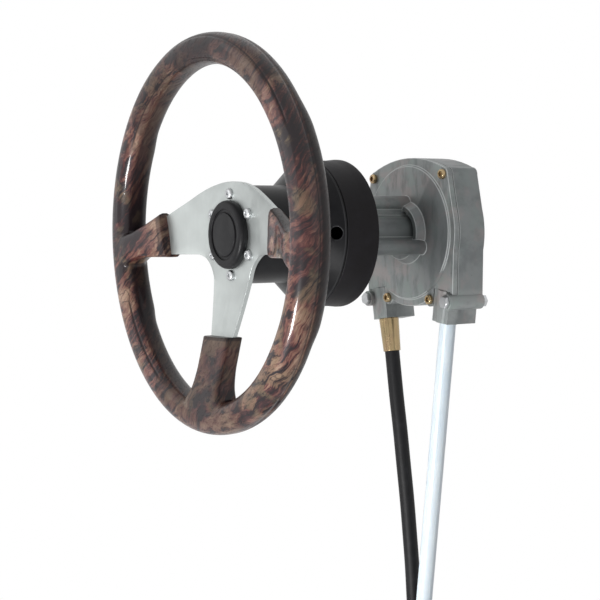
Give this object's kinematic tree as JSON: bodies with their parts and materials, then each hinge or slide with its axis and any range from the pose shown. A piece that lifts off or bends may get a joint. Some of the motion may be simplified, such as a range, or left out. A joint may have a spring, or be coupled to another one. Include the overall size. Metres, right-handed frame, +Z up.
{
  "type": "boat steering helm",
  "caption": "Boat steering helm: dished spoked wheel with a wooden rim on a tapered shaft, a dash bezel and a planetary gearbox that drives a push-pull cable.",
  "frame": {"origin": "on the steering shaft's axis, in the plane of the bezel's dash face", "axes": "+Y along the shaft from the wheel to the gearbox, +Z up, +X to the driver's right"},
  "size_m": [0.34, 0.2677, 0.755],
  "materials": {
    "wood": "glossy lacquered burl",
    "satin_aluminium": "satin",
    "bright_steel": "bright zinc",
    "cap_black": "satin moulded",
    "hub_black": "satin",
    "bezel_black": "fine texture",
    "machined_steel": "machined",
    "cast_grey": "raw die casting",
    "gasket_rubber": "plain",
    "yellow_zinc": "yellow passivated zinc",
    "bronze": "sintered",
    "cable_black": "matt extruded jacket",
    "trim_black": "moulded",
    "milky_plastic": "milky translucent"
  },
  "bodies": {
    "gearbox": {"clamp_bolts": "bright_steel", "clamp_nuts": "bright_steel", "anchor_nut": "bright_steel", "cable_anchor": "bright_steel", "bezel": "bezel_black", "bezel_screws": "machined_steel", "ring_gear": "machined_steel", "cable_core": "machined_steel", "front_cover": "cast_grey", "rear_housing": "cast_grey", "cover_gasket": "gasket_rubber", "shaft_seal": "gasket_rubber", "cover_screws": "yellow_zinc", "cable_ferrule": "yellow_zinc", "front_bush": "bronze", "cover_bush": "bronze", "tail_bush": "bronze", "steering_cable": "cable_black", "cable_coil": "cable_black", "cable_tail": "cable_black", "coil_ties": "trim_black", "anchor_cap": "trim_black", "spent_tube": "milky_plastic", "tube_end_cap": "milky_plastic"},
    "wheel": {"rim_front": "wood", "rim_rear": "wood", "spoke_plate": "satin_aluminium", "wheel_screws": "bright_steel", "cap_ring": "cap_black", "cap_disc": "cap_black", "wheel_hub": "hub_black", "shaft_nut": "machined_steel", "nut_washer": "machined_steel", "shaft_key": "machined_steel", "steering_shaft": "machined_steel", "shaft_clip": "machined_steel"},
    "drum": {"cable_drum": "machined_steel", "drum_bush": "bronze", "thrust_washer": "milky_plastic", "planet_pins": "machined_steel", "planet_clips": "machined_steel"},
    "planet_1": {"planet_gear_1": "machined_steel"},
    "planet_2": {"planet_gear_2": "machined_steel"},
    "planet_3": {"planet_gear_3": "machined_steel"}
  },
  "joints": [
    {"name": "wheel_turn", "type": "hinge", "parent": "gearbox", "child": "wheel", "pos_m": [0, 0, 0], "axis": [0, -1, 0], "range_deg": [-690, 690]},
    {"name": "drum_turn", "type": "hinge", "parent": "gearbox", "child": "drum", "pos_m": [0, 0, 0], "axis": [0, -1, 0], "range_deg": [-116, 116]},
    {"name": "planet_spin_1", "type": "hinge", "parent": "drum", "child": "planet_1", "pos_m": [0.0234, 0.102, 0], "axis": [0, -1, 0], "range_deg": [-289, 289]},
    {"name": "planet_spin_2", "type": "hinge", "parent": "drum", "child": "planet_2", "pos_m": [-0.0117, 0.102, 0.02026], "axis": [0, -1, 0], "range_deg": [-289, 289]},
    {"name": "planet_spin_3", "type": "hinge", "parent": "drum", "child": "planet_3", "pos_m": [-0.0117, 0.102, -0.02026], "axis": [0, -1, 0], "range_deg": [-289, 289]}
  ],
  "couplings": [
    {"joint": "drum_turn", "follows": "wheel_turn", "ratio": 0.16667},
    {"joint": "planet_spin_1", "follows": "wheel_turn", "ratio": -0.41667},
    {"joint": "planet_spin_2", "follows": "wheel_turn", "ratio": -0.41667},
    {"joint": "planet_spin_3", "follows": "wheel_turn", "ratio": -0.41667}
  ]
}
